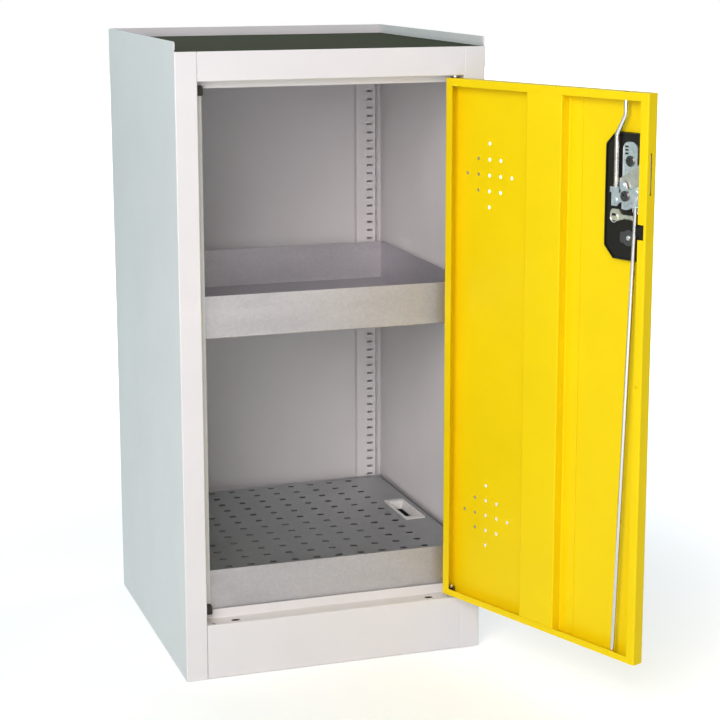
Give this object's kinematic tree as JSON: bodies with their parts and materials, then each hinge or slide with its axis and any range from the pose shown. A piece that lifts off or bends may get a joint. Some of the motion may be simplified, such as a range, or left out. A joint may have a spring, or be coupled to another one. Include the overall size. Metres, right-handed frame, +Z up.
{
  "type": "chemical storage cabinet",
  "caption": "Low steel storage cabinet with one hinged perforated door, rod lock, spill trays and a matted top.",
  "frame": {"origin": "middle of the carcass footprint, on the floor", "axes": "+Z up; the front with the door faces -Y; the door hinge is on the +X side"},
  "size_m": [0.6169, 0.8839, 1.01],
  "materials": {
    "carcass_paint": "light grey powder coat",
    "door_paint": "bright yellow powder coat",
    "galvanised": "galvanised sheet, dull",
    "zinc": "bright zinc plate",
    "black_plastic": "black moulded plastic",
    "pale_plastic": "pale grey moulded plastic",
    "mat_rubber": "ribbed dark green-black rubber",
    "bumper_rubber": "black rubber",
    "black_screw": "blackened steel",
    "nickel": "nickel plate",
    "key_metal": "nickelled brass"
  },
  "bodies": {
    "carcass": {"left_side_panel": "carcass_paint", "right_side_panel": "carcass_paint", "back_panel": "carcass_paint", "top_panel": "carcass_paint", "base_panel": "carcass_paint", "floor_frame": "carcass_paint", "front_top_rail": "carcass_paint", "plinth": "carcass_paint", "rear_left_upright": "carcass_paint", "rear_right_upright": "carcass_paint", "front_left_upright": "carcass_paint", "front_right_upright": "carcass_paint", "upper_tray": "galvanised", "lower_tray": "galvanised", "shelf_clips": "zinc", "lower_hinge_pin": "zinc", "upper_hinge_pin": "zinc", "lower_hinge_boss": "zinc", "upper_hinge_boss": "zinc", "door_bumpers": "bumper_rubber"},
    "door": {"door_panel": "door_paint", "door_stiffener": "door_paint", "lower_hinge_bush": "black_plastic", "upper_hinge_bush": "black_plastic", "lock_housing": "black_plastic", "lock_base_plate": "zinc", "base_plate_screw": "black_screw", "upper_rod_guide": "black_plastic", "lower_rod_guide": "black_plastic", "key": "key_metal", "key_ring": "zinc"},
    "handle": {"swing_handle": "black_plastic", "spindle": "zinc", "cam_plate": "zinc", "cam_pins": "zinc", "cam_screw": "black_screw"},
    "cylinder": {"lock_cylinder": "nickel", "cylinder_cam": "black_plastic", "cylinder_screw": "zinc"},
    "upper_bar": {"upper_rod": "zinc", "rod_block": "zinc"},
    "lower_bar": {"lower_rod": "zinc"},
    "bolt": {"side_bolt": "zinc"},
    "grid": {"tray_grid": "galvanised", "grid_grip_frame": "pale_plastic"},
    "mat": {"rubber_mat": "mat_rubber"}
  },
  "joints": [
    {"name": "door_hinge", "type": "hinge", "parent": "carcass", "child": "door", "pos_m": [0.203, -0.242, 0.5], "axis": [0, 0, 1], "range_deg": [-111, 0]},
    {"name": "handle_turn", "type": "hinge", "parent": "door", "child": "handle", "pos_m": [0.3307, -0.59252, 0.7965], "axis": [-0.9336, -0.3584, 0], "range_deg": [-42, 0]},
    {"name": "upper_rod_slide", "type": "slide", "parent": "door", "child": "upper_bar", "axis": [0, 0, 1], "range_m": [0, 0.01506]},
    {"name": "lower_rod_slide", "type": "slide", "parent": "door", "child": "lower_bar", "axis": [-0.0124, 0.0324, -0.9994], "range_m": [0, 0.01506]},
    {"name": "side_bolt_slide", "type": "slide", "parent": "door", "child": "bolt", "axis": [0.3584, -0.9336, 0], "range_m": [0, 0.01148]},
    {"name": "cylinder_turn", "type": "hinge", "parent": "door", "child": "cylinder", "pos_m": [0.34486, -0.58923, 0.735], "axis": [-0.9336, -0.3584, 0], "range_deg": [0, 90]},
    {"name": "grid_lift", "type": "slide", "parent": "carcass", "child": "grid", "axis": [0, 0, 1], "range_m": [0, 0.12]},
    {"name": "mat_lift", "type": "slide", "parent": "carcass", "child": "mat", "axis": [0, 0, 1], "range_m": [0, 0.03]}
  ],
  "couplings": [
    {"joint": "upper_rod_slide", "follows": "handle_turn", "m_per_rad": -0.020533},
    {"joint": "lower_rod_slide", "follows": "handle_turn", "m_per_rad": -0.020533},
    {"joint": "side_bolt_slide", "follows": "handle_turn", "m_per_rad": -0.015644}
  ]
}
